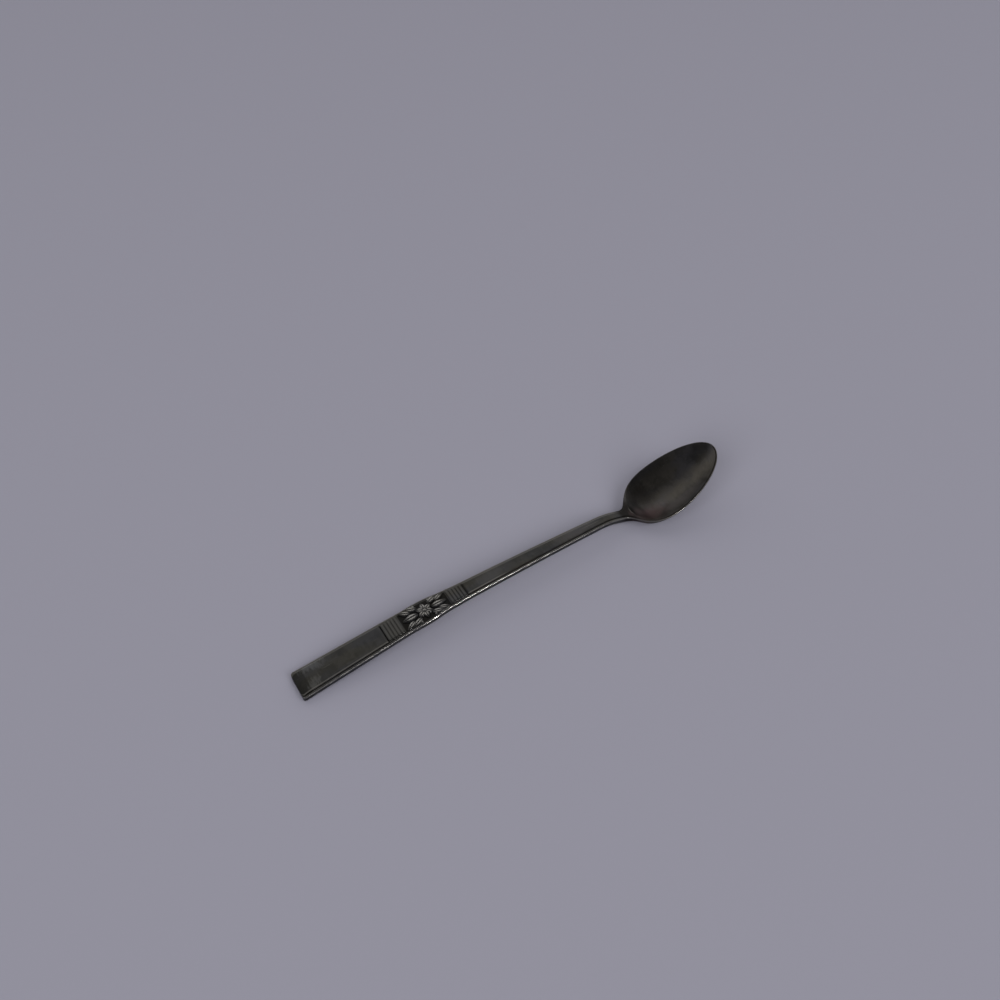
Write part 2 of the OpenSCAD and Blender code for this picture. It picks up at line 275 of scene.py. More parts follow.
# Edge of the back, from the side on: distance in from the side and rise above the back, then wear
back_edge = np.array([[0.0, side_round], [0.3 * back_round, 0.35 * back_round], [back_round, 0.0]])
back_worn = (0.05, 0.6, 0.1)

# Rounding of the section's corners
round_passes = 2
corner_cut = 0.25

# Dirt in the left groove, dirt and painted shade in the right one, dirt in the reeding and the
# ornament, and darkening of the rolled end
groove_dirt_and_shade = (0.2, 1.0)
reed_dirt = 0.2
ornament_dirt = 0.72
end_darkening = 0.2
end_fade = 0.8 * mm

# Stretch of the stem along which the wear and painted highlight of the right-hand panel edge fade out
lip_fade = (12 * mm, 30 * mm)

# Inside of the heel: its rise above the hollow, and the painted highlight along the crease where the
# neck ends
heel_rise = 0.4
heel_length = 8 * mm
crease_highlight = 0.52
crease_run = 0.5 * mm
crease_lead = 0.6 * mm
crease_bend = 1.4 * mm


def sunk(x):
    """Depth of the ground below the panel, in the reeding and the ornament."""
    places = [
        (x_rear, 0), (x_rear + wall_run, reed_height),
        (x_ornament - wall_run, reed_height), (x_ornament, ground_drop),
        (x_front, ground_drop), (x_front + wall_run, reed_height),
        (x_stem - wall_run, reed_height), (x_stem, 0),
    ]
    return np.interp(x, *zip(*places))


def bar_depth(x, y):
    """Depth of the handle's bar below the edge line. It dies out under the heel."""
    inset = half_width(x) - abs(y)
    run = 1 - ease((x - x_heel) / bar_run)
    depth = thickness + neck_swell * ease((x - x_neck) / (x_heel - x_neck))
    if inset < 0:
        return run * max(0.0, (depth - side_round) * (1 + inset / bar_fade))
    return run * (depth - np.interp(inset, back_edge[:, 0], back_edge[:, 1]))


def outer_drop(x, y, share):
    """Depth of the outside below the edge line, bar and bowl blended."""
    shoulder = shoulder_depth * (1 - ease((x - x_heel) / shoulder_fade))
    bowl = into_bowl(x) * (rim_height + shoulder) + outer_depth * roundness(x, share)
    return (bar_depth(x, y) ** back_power + bowl**back_power) ** (1 / back_power)


def rounded(rows, passes):
    """Cuts the corners of a line of rows, and keeps its two ends."""
    for _ in range(passes):
        near = (1 - corner_cut) * rows[:-1] + corner_cut * rows[1:]
        far = corner_cut * rows[:-1] + (1 - corner_cut) * rows[1:]
        cut = np.stack([near, far], 1).reshape(-1, rows.shape[1])
        rows = np.vstack([rows[:1], cut, rows[-1:]])
    return rows


def half_section(p, inward):
    """Rows from the panel over the side to the back at p: x, y, z, wear of the left and the right side,
    which is partly painted sheen, recess of the left and the right side, which in the right-hand
    groove is partly painted shade."""
    m = into_rim(p[0])
    ground = sunk(p[0])
    dirt = ornament_dirt if x_ornament <= p[0] <= x_front else reed_dirt
    lip = 1 - ease((p[0] - x_stem - lip_fade[0]) / (lip_fade[1] - lip_fade[0]))
    rows = []
    for k, (inset, drop, left, right, recess) in enumerate(handle_edge * (1 - m) + bowl_edge * m):
        q = p + inward * inset
        depth = drop
        # The right-hand groove is darker than the left: dirt and painted shade
        recesses = [share * recess for share in groove_dirt_and_shade]
        left *= (1 - m) ** 2
        # The right-hand panel lip's wear is partly a painted highlight, faded out along the stem
        if k < groove_rows[0]:
            right *= lip
        if k < groove_rows[0] and ground > 0:
            depth = drop + ground
            left = right = 0.0
            recesses = [dirt, dirt]
        elif k in groove_rows:
            depth = max(drop, ground)
        rows.append([q[0], q[1], edge_z(q[0]) - depth, left, right, *recesses])
    for (inset, _), wear_and_sheen in zip(back_edge, back_worn):
        q = p + inward * inset
        share = q[1] / p[1] if p[1] > 0 else 1.0
        rows.append([q[0], q[1], edge_z(q[0]) - outer_drop(p[0], q[1], share), wear_and_sheen, wear_and_sheen, 0, 0])
    return rounded(np.array(rows), round_passes)


# Columns of a half section that make the left and the right side
left_columns = [0, 1, 2, 3, 5]
right_columns = [0, 1, 2, 4, 6]


def section(p, inward, across):
    """Closed ring of rows of x, y, z, wear with painted sheen, and recess: left side, back, right side,
    panel.
    """
    half = half_section(p, inward)
    left = half[:, left_columns]
    right = half[::-1, right_columns] * [1, -1, 1, 1, 1]
    shares = np.linspace(1, -1, across + 1)[1:-1]
    panel, back = half[0], half[-1]
    top = []
    under = []
    for s in shares:
        heel = 1 - ease((panel[0] - x_heel) / heel_length)
        hollow = bowl_depth * roundness(p[0], s) * (1 - heel_rise * heel)
        # Painted highlight along the crease where the neck ends, put in the wear column
        off = (panel[0] - x_heel - crease_lead - crease_bend * s * s) / crease_run
        crease = crease_highlight * math.exp(-off * off) * (1 - s**4)
        inside = into_rim(p[0]) * (1 - math.exp(-(((1 - abs(s)) / rim_band) ** 2)))
        recess = (panel[6] if s > 0 else panel[5]) * (1 - inside)
        top.append([panel[0], -s * panel[1], panel[2] - hollow, crease, recess])
        y = s * back[1]
        drop = outer_drop(p[0], y, y / p[1])
        under.append([back[0], y, edge_z(back[0]) - drop, 0, 0])
    return np.vstack([left, under, right, top])


def handle_section(x, across):
    """Section straight across the handle."""
    return section(np.array([x, half_width(x)]), np.array([0.0, -1.0]), across)


def end_section(x, across):
    """Section of the end panel, with its round corners and its rolled-down, rounded end."""
    run = x - x_end
    inner = half_width(x_end) - corner_radius
    corner = inner + math.sqrt(max(0.0, corner_radius**2 - max(0.0, corner_radius - run) ** 2))
    lip = max(0.0, end_round - run)
    shrink = end_round - math.sqrt(end_round**2 - lip**2)
    half = min(half_width(x), corner) - shrink
    ring = section(np.array([x, half]), np.array([0.0, -1.0]), across)
    radius = (roll_length**2 + roll_drop**2) / (2 * roll_drop)
    roll = max(0.0, roll_length - run)
    ceiling = handle_z(x) - (radius - math.sqrt(radius**2 - roll**2)) - shrink
    floor = handle_z(x) - z_end + shrink
    covered = ring[:, 2] > ceiling
    # The rolled-down part is darkened, more so towards the end
    if roll > 0:
        ring[covered, 4] = end_darkening * min(1.0, roll / end_fade)
    ring[:, 2] = np.clip(ring[:, 2], floor, ceiling)
    return ring


# Outline of the bowl's right-hand side: neck to widest place for t to 1, and on to the tip at 2
x_widest = x_heel + widest_at
front_length = x_tip - x_widest
heel_curve = np.array([
    [x_bowl, neck_width / 2],
    [x_heel + heel_run, neck_width / 2],
    [x_heel + shoulder_run, half_bowl],
    [x_widest, half_bowl],
])
front_curve = np.array([
    [x_widest, half_bowl],
    [x_widest + front_share * front_length, half_bowl],
    [x_tip, tip_share * half_bowl],
    [x_tip, 0.0],
])


def outline(t):
    """Point of the outline and the direction square to it, inwards."""
    c = heel_curve if t < 1 else front_curve
    t = t if t < 1 else t - 1
    s = 1 - t
    p = s**3 * c[0] + 3 * s * s * t * c[1] + 3 * s * t * t * c[2] + t**3 * c[3]
    d = s * s * (c[1] - c[0]) + 2 * s * t * (c[2] - c[1]) + t * t * (c[3] - c[2])
    d = d / np.linalg.norm(d)
    return p, np.array([d[1], -d[0]])


# Meshes
def add_piece(name, mesh):
    piece = bpy.data.objects.new(name, mesh)
    bpy.context.scene.collection.objects.link(piece)
    return piece


def add_rows(mesh, rows):
    """Stores the wear column, which is partly painted sheen, and the recess column of the rows on the
    mesh.
    """
    for column, name in ((3, "wear_and_sheen"), (4, "recess")):
        layer = mesh.attributes.new(name, "FLOAT", "POINT")
        layer.data.foreach_set("value", rows[:, column].astype(np.float32))


def ring_normals(before, at, after):
    """Normals of a ring from its neighbours, so that two stretches meet without a seam."""
    along = after[:, :3] - before[:, :3]
    around = np.roll(at[:, :3], -1, 0) - np.roll(at[:, :3], 1, 0)
    normal = np.cross(along, around)
    return normal / np.linalg.norm(normal, axis=1)[:, None]


def skin(name, rings, tip=None, start=None, stop=None):
    """Closed mesh through rings. start and stop are the normals of its first and last ring."""
    count = len(rings[0])
    rows = np.vstack(rings)
    last = len(rings) - 1
    faces = []
    for r in range(last):
        for k in range(count):
            j = (k + 1) % count
            faces.append((r * count + k, (r + 1) * count + k, (r + 1) * count + j, r * count + j))
    faces.append(tuple(range(count)))
    if tip is None:
        faces.append(tuple(last * count + k for k in range(count))[::-1])
    else:
        half = len(tip)
        across = (count - 2 * half) // 2
        order = list(range(half)) + [half - 1] * across + list(range(half))[::-1] + [0] * across
        base = len(rows)
        rows = np.vstack([rows, tip])
        for k in range(count):
            j = (k + 1) % count
            corners = (last * count + k, base + order[k], base + order[j], last * count + j)
            faces.append(tuple(dict.fromkeys(corners)))
    mesh = bpy.data.meshes.new(name)
    mesh.from_pydata(rows[:, :3].tolist(), [], faces)
    mesh.validate()
    add_rows(mesh, rows)
    mesh.polygons.foreach_set("use_smooth", [True] * len(mesh.polygons))
    mesh.update()
    normals = np.zeros(len(rows) * 3, np.float32)
    mesh.vertex_normals.foreach_get("vector", normals)
    normals = normals.reshape(-1, 3)
    if start is not None:
        normals[:count] = start
    if stop is not None:
        normals[last * count:(last + 1) * count] = stop
    mesh.normals_split_custom_set_from_vertices(normals.tolist())
    return add_piece(name, mesh)


def seam_normals(x, across, step=0.02 * mm):
    """Normals that the two pieces at a seam share."""
    return ring_normals(*(handle_section(x + k * step, across) for k in (-1, 0, 1)))


def handle_stretch(name, x0, x1, steps, breaks=()):
    """Stretch of handle between two stations, with extra sections at the breaks."""
    places = sorted({*np.linspace(x0, x1, steps + 1), *breaks})
    rings = [handle_section(x, handle_across) for x in places]
    start = seam_normals(x0, handle_across)
    stop = seam_normals(x1, handle_across)
    return skin(name, rings, start=start, stop=stop)


def end_panel():
    """End panel, with its sections closest together in the rounding, the corners and the roll."""
    edge_steps, corner_steps, roll_steps, flat_steps = 6, 8, 12, 40
    corner_start = 0.3
    quarter = math.pi / 2
    edge = [x_end + end_round * (1 - math.cos(a)) for a in np.linspace(0, quarter, edge_steps)]
    turns = np.linspace(corner_start, quarter, corner_steps)
    corner = [x_end + corner_radius * (1 - math.cos(a)) for a in turns]
    roll = np.linspace(x_end + corner_radius, x_end + roll_length, roll_steps)
    flat = np.linspace(x_end + roll_length, x_rear, flat_steps)
    places = sorted({*edge, *corner, *roll, *flat})
    rings = [end_section(x, handle_across) for x in places]
    return skin("terminal", rings, stop=seam_normals(x_rear, handle_across))


def bowl_shell():
    """Bowl, with its sections square to its outline and closed in a line at the tip."""
    times = [k / heel_steps for k in range(heel_steps)]
    times += [1 + k / front_steps for k in range(front_steps)]
    rings = [section(*outline(t), bowl_across) for t in times]
    tip = half_section(*outline(2))[:, right_columns]
    return skin("bowl", rings, tip=tip, start=seam_normals(x_bowl, bowl_across))


# Shapes that repeat, each of unit size
merge_distance = 1e-5


def reed_bar():
    """Half-round bar along Y with low walls and rounded ends, its foot at z = 0."""
    steps = 30
    around = 14
    half = 0.495
    wall = 0.4
    crown_power = 0.6
    end_power = 14
    end_least = 0.02
    wear = 0.44
    wear_power = 6
    angles = np.linspace(0, math.pi, around + 1)
    rows = []
    for y in np.linspace(-0.5, 0.5, steps + 1):
        swell = math.sqrt(max(end_least, 1 - abs(2 * y) ** end_power))
        rows.append([-half, y, 0, 0, 0])
        for a in angles:
            up = wall + (1 - wall) * math.sin(a) ** crown_power
            rows.append([-half * math.cos(a), y, up * swell, wear * up**wear_power, 0])
        rows.append([half, y, 0, 0, 0])
    rows = np.array(rows)
    count = len(angles) + 2
    faces = []
    for i in range(steps):
        a = i * count
        for k in range(count - 1):
            faces.append((a + k, a + k + 1, a + k + count + 1, a + k + count))
        faces.append((a, a + count, a + 2 * count - 1, a + count - 1))
    faces.append(tuple(range(count))[::-1])
    faces.append(tuple(steps * count + k for k in range(count)))
    mesh = bpy.data.meshes.new("reed")
    mesh.from_pydata(rows[:, :3].tolist(), [], faces)
    add_rows(mesh, rows)
    return mesh


def leaf_blade():
    """Leaf along X with a sunk midrib and raised veins, its foot at z = 0."""
    steps = 30
    across = 20
    widest_power = 0.8
    outline_power = 0.85
    dome_power = 0.6
    rib_depth = 0.45
    rib_width = 0.14
    veins = 6
    vein_height = 0.08
    vein_lean = 1.4
    worn_above = 0.55
    worn_rate = 2.2
    edge_dirt = 0.75
    dirt_rate = 1.4
    foot_depth = 0.25
    rows = []
    for u in np.linspace(0, 1, steps + 1):
        bulge = math.sin(math.pi * u**widest_power)
        wide = 0.5 * bulge**outline_power
        for v in np.linspace(-1, 1, across + 1):
            dome = max(0.0, 1 - v * v) ** dome_power * math.sqrt(bulge)
            rib = rib_depth * math.exp(-((v / rib_width) ** 2))
            vein = vein_height * math.cos(2 * math.pi * (veins * u - vein_lean * abs(v)))
            high = dome * (1 - rib + vein)
            wear_and_sheen = worn_rate * max(0.0, high - worn_above)
            dirt = max(0.0, edge_dirt - dirt_rate * high)
            rows.append([u - 0.5, v * wide, high, wear_and_sheen, dirt])
    top = np.array(rows)
    foot = top * [1, 1, 0, 0, 0] + [0, 0, -foot_depth, 0, 1]
    rows = np.vstack([top, foot])
    count = across + 1
    base = len(top)
    faces = []
    for i in range(steps):
        for k in range(across):
            a = i * count + k
            faces.append((a, a + count, a + count + 1, a + 1))
            faces.append((base + a, base + a + 1, base + a + count + 1, base + a + count))
        for k, way in ((0, 1), (across, -1)):
            a = i * count + k
            faces.append((a, base + a, base + a + count, a + count)[::way])
    mesh = bpy.data.meshes.new("leaf")
    mesh.from_pydata(rows[:, :3].tolist(), [], faces)
    add_rows(mesh, rows)
    joined = bmesh.new()
    joined.from_mesh(mesh)
    bmesh.ops.remove_doubles(joined, verts=joined.verts, dist=merge_distance)
    joined.to_mesh(mesh)
    joined.free()
    return mesh


# Geometry Nodes
def new_tree(name, inputs):
    """Tree with a geometry input, the named inputs and a geometry output."""
    tree = bpy.data.node_groups.new(name, "GeometryNodeTree")
    tree.interface.new_socket("Geometry", in_out="INPUT", socket_type="NodeSocketGeometry")
    for label, kind in inputs:
        tree.interface.new_socket(label, in_out="INPUT", socket_type="NodeSocket" + kind)
    tree.interface.new_socket("Geometry", in_out="OUTPUT", socket_type="NodeSocketGeometry")
    return tree, tree.nodes.new("NodeGroupInput").outputs


def put(tree, kind, inputs=(), **settings):
    """Adds a node with its settings, and links or sets its inputs by name or number."""
    node = tree.nodes.new(kind)
    for key, value in settings.items():
        setattr(node, key, value)
    for key, value in dict(inputs).items():
        socket = node.inputs[key]
        if isinstance(value, bpy.types.NodeSocket):
            tree.links.new(value, socket)
        else:
            socket.default_value = value
    return node


def calc(tree, operation, *values):
    """Math node on sockets or numbers."""
    return put(tree, "ShaderNodeMath", dict(enumerate(values)), operation=operation).outputs[0]


def vector(tree, x=0.0, y=0.0, z=0.0):
    return put(tree, "ShaderNodeCombineXYZ", {0: x, 1: y, 2: z}).outputs[0]


def turn(tree, x=0.0, y=0.0, z=0.0):
    return put(tree, "FunctionNodeEulerToRotation", {0: vector(tree, x, y, z)}).outputs[0]


def close_tree(tree, geometry, material):
    """Ends a tree in Realize Instances, smooth shading and Set Material."""
    whole = put(tree, "GeometryNodeRealizeInstances", {"Geometry": geometry}).outputs[0]
    smooth = put(tree, "GeometryNodeSetShadeSmooth", {"Geometry": whole}).outputs[0]
    inputs = {"Geometry": smooth, "Material": material}
    painted = put(tree, "GeometryNodeSetMaterial", inputs).outputs[0]
    tree.links.new(painted, tree.nodes.new("NodeGroupOutput").inputs[0])


def bake(name, mesh, tree, values):
    """Runs a tree on a mesh and keeps the result as a plain mesh."""
    source = add_piece(name + "_source", mesh)
    modifier = source.modifiers.new("shape", "NODES")
    modifier.node_group = tree
    for item in tree.interface.items_tree:
        if item.in_out == "INPUT" and item.name in values:
            modifier[item.identifier] = values[item.name]
    graph = bpy.context.evaluated_depsgraph_get()
    made = bpy.data.meshes.new_from_object(source.evaluated_get(graph))
    source.modifiers.clear()
    bpy.data.objects.remove(source)
    made.name = name
    return add_piece(name, made)


def reeding_tree():
    """Repeats a reed along a band whose width changes from the first reed to the last."""
    tree, given = new_tree("reeding", [
        ("Count", "Int"), ("Pitch", "Float"), ("Height", "Float"), ("First Width", "Float"),
        ("Last Width", "Float"), ("Place", "Vector"), ("Slope", "Float"), ("Material", "Material"),
    ])
    step = vector(tree, given["Pitch"])
    line = put(tree, "GeometryNodeMeshLine", {"Count": given["Count"], "Offset": step}).outputs[0]
    index = put(tree, "GeometryNodeInputIndex").outputs[0]
    share = calc(tree, "DIVIDE", index, calc(tree, "SUBTRACT", given["Count"], 1.0))
    width = put(tree, "ShaderNodeMix", {
        0: share, 2: given["First Width"], 3: given["Last Width"]}).outputs[0]
    size = vector(tree, given["Pitch"], width, given["Height"])
    bars = put(tree, "GeometryNodeInstanceOnPoints", {
        "Points": line, "Instance": given["Geometry"], "Scale": size}).outputs[0]
    tilt = turn(tree, y=calc(tree, "MULTIPLY", given["Slope"], -1.0))
    placed = put(tree, "GeometryNodeTransform", {
        "Geometry": bars, "Translation": given["Place"], "Rotation": tilt}).outputs[0]
    close_tree(tree, placed, given["Material"])
    return tree


def reeds(name, tree, x0, x1, slope, material):
    """Band of reeds between two stations."""
    pitch = (x1 - x0 - 2 * reed_margin) / reed_count
    first = x0 + reed_margin + pitch / 2
    last = x1 - reed_margin - pitch / 2
    return bake(name, reed_bar(), tree, {
        "Count": reed_count,
        "Pitch": pitch,
        "Height": reed_height,
        "First Width": 2 * (half_width(first) - thread_width + reed_overlap),
        "Last Width": 2 * (half_width(last) - thread_width + reed_overlap),
        "Place": (first, 0, handle_z(first) - reed_height),
        "Slope": slope,
        "Material": material,
    })


def relief_tree():
    """Rosette between two sprays of leaves, bent to the arch and the taper of its ground."""
    bead_segments = 24
    bead_rings = 12
    bead_wear = 0.6
    tree, given = new_tree("leaf_relief", [
        ("Pairs", "Int"), ("Pair Start", "Vector"), ("Pair Step", "Vector"), ("Pair Shrink", "Float"),
        ("Pair Angle", "Float"), ("Pair Turn", "Float"), ("Pair Size", "Vector"),
        ("Tip Place", "Float"), ("Tip Size", "Vector"),
        ("Petals", "Int"), ("Petal Place", "Float"), ("Petal Size", "Vector"),
        ("Boss Radius", "Float"), ("Boss Rise", "Float"),
        ("Berry Radius", "Float"), ("Berry Place", "Vector"),
        ("Taper", "Float"), ("Arch", "Float"), ("Place", "Vector"), ("Slope", "Float"),
        ("Material", "Material"),
    ])
    index = put(tree, "GeometryNodeInputIndex").outputs[0]
    leaf = given["Geometry"]

    def scaled(size, factor):
        inputs = {0: size, "Scale": factor}
        return put(tree, "ShaderNodeVectorMath", inputs, operation="SCALE").outputs[0]

    def instance(places, shape, rotation, size):
        return put(tree, "GeometryNodeInstanceOnPoints", {
            "Points": places, "Instance": shape, "Rotation": rotation, "Scale": size}).outputs[0]

    def points(count, position):
        line = put(tree, "GeometryNodeMeshLine", {"Count": count}).outputs[0]
        return put(tree, "GeometryNodeSetPosition", {"Geometry": line, "Position": position}).outputs[0]

    side = calc(tree, "SUBTRACT", 1.0, calc(tree, "MULTIPLY", 2.0, calc(tree, "MODULO", index, 2.0)))
    pair = calc(tree, "FLOOR", calc(tree, "DIVIDE", index, 2.0))
    start = put(tree, "ShaderNodeSeparateXYZ", {0: given["Pair Start"]}).outputs
    step = put(tree, "ShaderNodeSeparateXYZ", {0: given["Pair Step"]}).outputs
    along = calc(tree, "MULTIPLY_ADD", pair, step[0], start[0])
    aside = calc(tree, "MULTIPLY", side, calc(tree, "MULTIPLY_ADD", pair, step[1], start[1]))
    opened = calc(tree, "MULTIPLY_ADD", pair, given["Pair Turn"], given["Pair Angle"])
    angle = calc(tree, "MULTIPLY", side, opened)
    shrink = calc(tree, "SUBTRACT", 1.0, calc(tree, "MULTIPLY", pair, given["Pair Shrink"]))
    pairs = points(calc(tree, "MULTIPLY", given["Pairs"], 2.0), vector(tree, along, aside))
    side_leaves = instance(pairs, leaf, turn(tree, z=angle), scaled(given["Pair Size"], shrink))
    tip_place = points(1, vector(tree, given["Tip Place"]))
    tip_leaf = instance(tip_place, leaf, turn(tree), given["Tip Size"])
    spray = put(tree, "GeometryNodeJoinGeometry")
    for part in (side_leaves, tip_leaf):
        tree.links.new(part, spray.inputs[0])
    half_turn = turn(tree, z=calc(tree, "MULTIPLY", index, math.pi))
    sprays = instance(points(2, vector(tree)), spray.outputs[0], half_turn, (1, 1, 1))

    circle = put(tree, "GeometryNodeMeshCircle", {
        "Vertices": given["Petals"], "Radius": given["Petal Place"]})
    step_angle = calc(tree, "DIVIDE", 2 * math.pi, given["Petals"])
    petal_turn = turn(tree, z=calc(tree, "MULTIPLY", index, step_angle))
    ring = instance(circle.outputs[0], leaf, petal_turn, given["Petal Size"])
    half_step = turn(tree, z=calc(tree, "MULTIPLY", step_angle, 0.5))
    petals = put(tree, "GeometryNodeTransform", {"Geometry": ring, "Rotation": half_step}).outputs[0]

    def bead(radius, rise):
        ball = put(tree, "GeometryNodeMeshUVSphere", {
            "Segments": bead_segments, "Rings": bead_rings, "Radius": radius}).outputs[0]
        raised = put(tree, "GeometryNodeTransform", {
            "Geometry": ball, "Translation": vector(tree, z=rise)}).outputs[0]
        wear_and_sheen = {"Geometry": raised, "Name": "wear_and_sheen", "Value": bead_wear}
        stored = put(
            tree, "GeometryNodeStoreNamedAttribute", wear_and_sheen, data_type="FLOAT", domain="POINT")
        return stored.outputs[0]

    far_side = calc(tree, "SUBTRACT", 1.0, calc(tree, "MULTIPLY", 2.0, pair))
    spot = put(tree, "ShaderNodeVectorMath", {0: vector(tree, side, far_side), 1: given["Berry Place"]},
               operation="MULTIPLY").outputs[0]
    berries = instance(points(4, spot), bead(given["Berry Radius"], 0.0), turn(tree), (1, 1, 1))

    whole = put(tree, "GeometryNodeJoinGeometry")
    boss = bead(given["Boss Radius"], given["Boss Rise"])
    for part in (sprays, petals, berries, boss):
        tree.links.new(part, whole.inputs[0])
    flat = put(tree, "GeometryNodeRealizeInstances", {"Geometry": whole.outputs[0]}).outputs[0]
    position = put(tree, "GeometryNodeInputPosition").outputs[0]
    at = put(tree, "ShaderNodeSeparateXYZ", {0: position}).outputs
    narrow = calc(tree, "SUBTRACT", 1.0, calc(tree, "MULTIPLY", at[0], given["Taper"]))
    squared = calc(tree, "MULTIPLY", at[0], at[0])
    sag = calc(tree, "DIVIDE", squared, calc(tree, "MULTIPLY", 2.0, given["Arch"]))
    across = calc(tree, "MULTIPLY", at[1], narrow)
    bent = vector(tree, at[0], across, calc(tree, "SUBTRACT", at[2], sag))
    laid = put(tree, "GeometryNodeSetPosition", {"Geometry": flat, "Position": bent}).outputs[0]
    tilt = turn(tree, y=calc(tree, "MULTIPLY", given["Slope"], -1.0))
    placed = put(tree, "GeometryNodeTransform", {
        "Geometry": laid, "Translation": given["Place"], "Rotation": tilt}).outputs[0]
    close_tree(tree, placed, given["Material"])
    return tree


def leaf_relief(material):
    """Relief of the ornament, sized to its panel."""
    middle = (x_ornament + x_front) / 2
    reach = middle - x_ornament - reed_margin
    panel = [half_width(x) - thread_width for x in (x_ornament, middle, x_front)]
    slope = math.asin(math.sin(end_slope) - (middle - x_ornament) / ornament_arc)
    turned = side_leaf_angle + outer_angle
    inner_x = rosette_radius + side_leaf_size.x / 6
    inner_y = (leaf_size.y + side_leaf_size.y) / 2 + leaf_gap
    outer_x = reach - outer_share * side_leaf_size.x / 2 * math.cos(turned)
    petal_length = rosette_radius - boss_radius / 4
    return bake("leaf_relief", leaf_blade(), relief_tree(), {
        "Pairs": 2,
        "Pair Start": (inner_x, inner_y, 0),
        "Pair Step": (outer_x - inner_x, (outer_share - 1) * inner_y, 0),
        "Pair Shrink": 1 - outer_share,
        "Pair Angle": side_leaf_angle,
        "Pair Turn": outer_angle,
        "Pair Size": side_leaf_size,
        "Tip Place": reach - leaf_size.x / 2,
        "Tip Size": leaf_size,
        "Petals": petal_count,
        "Petal Place": rosette_radius - petal_length / 2,
        "Petal Size": (petal_length, petal_width, leaf_size.z),
        "Boss Radius": boss_radius,
        "Boss Rise": (boss_share - 1) * boss_radius,
        "Berry Radius": berry_radius,
        "Berry Place": (rosette_radius - berry_radius, inner_y + berry_radius, 0),
        "Taper": (panel[0] - panel[2]) / (x_front - x_ornament) / panel[1],
        "Arch": ornament_arc,
        "Place": (middle, 0, handle_z(middle) - ground_drop),
        "Slope": slope,
        "Material": material,
    })


# Materials
def new_material(name):
    material = bpy.data.materials.new(name)
    material.use_nodes = True
    return material, material.node_tree, material.node_tree.nodes["Principled BSDF"]


def colour_mix(tree, factor, a, b, blend="MIX"):
    inputs = {0: factor, 6: a, 7: b}
    return put(tree, "ShaderNodeMix", inputs, data_type="RGBA", blend_type=blend).outputs[2]


def spread(tree, value, low, high, to_low=0.0, to_high=1.0):
    """Maps a value from one range to another, smoothly and within its ends."""
    inputs = {0: value, 1: low, 2: high, 3: to_low, 4: to_high}
    return put(tree, "ShaderNodeMapRange", inputs, interpolation_type="SMOOTHSTEP").outputs[0]


def noise(tree, where, scale, detail, roughness, distortion=0.0):
    return put(tree, "ShaderNodeTexNoise", {
        "Vector": where, "Scale": scale, "Detail": detail, "Roughness": roughness,
        "Distortion": distortion}).outputs["Fac"]


def streaky(tree, where, scale, detail, roughness, distortion=0.0):
    """Noise with a scale of its own along each axis."""
    mapped = put(tree, "ShaderNodeMapping", {"Vector": where, "Scale": scale}).outputs[0]
    return noise(tree, mapped, 1.0, detail, roughness, distortion)


def attribute(tree, name):
    return put(tree, "ShaderNodeAttribute", attribute_name=name).outputs["Fac"]


def patch(tree, where, streaks, centre, reach, core, ragged):
    """Mask round a place that goes this far along each axis and is full within the core's share of it,
    its edge made ragged by the streaks."""
    place = Vector(c / r for c, r in zip(centre, reach))
    scaled = put(tree, "ShaderNodeMapping", {
        "Vector": where, "Location": -place, "Scale": [1 / r for r in reach]}).outputs[0]
    away = put(tree, "ShaderNodeVectorMath", {0: scaled}, operation="LENGTH").outputs["Value"]
    edge = calc(tree, "MULTIPLY_ADD", streaks, ragged, away)
    middle = ragged / 2
    return spread(tree, edge, middle + 1.0, middle + core)


# Patterns of the plate, in repeats per metre, along the spoon, across it and upwards
cloud_scale = 170
speck_scale = 1300
lengthwise_scale = (70, 4200, 900)
crosswise_scale = (1800, 160, 400)
band_scale = (700, 90, 300)
drift_scale = (60, 150, 100)
streak_scale = (900, 260, 500)

# Values between which each pattern goes from none to full
cloud_range = (0.36, 0.66)
tarnish_range = (0.3, 1.3)
drift_range = (0.35, 0.65)
lengthwise_range = (0.66, 0.74)
crosswise_range = (0.72, 0.78)
recess_range = (0.1, 0.9)

# Strengths and tints of the plate
warm_tint = (1.03, 1.00, 0.93, 1)
cool_tint = (0.97, 0.98, 1.07, 1)
recess_black = (0.012, 0.011, 0.010, 1)
recess_share = 0.85
recess_dullness = 0.25
wear_start = 0.35
wear_speckle = 0.08
wear_polish = 0.16
scratch_share = 0.18
scratch_depth = 0.6
speck_height = 0.25
bowl_dullness = 0.08
bump_share = 0.06
bump_height = 0.05 * mm


def scratches(tree, where):
    """Fine scratches along the spoon, and a few across it."""
    lengthwise = streaky(tree, where, lengthwise_scale, detail=2, roughness=0.5)
    crosswise = streaky(tree, where, crosswise_scale, detail=2, roughness=0.5)
    many = spread(tree, lengthwise, *lengthwise_range)
    few = spread(tree, crosswise, *crosswise_range)
    return calc(tree, "MAXIMUM", many, few)


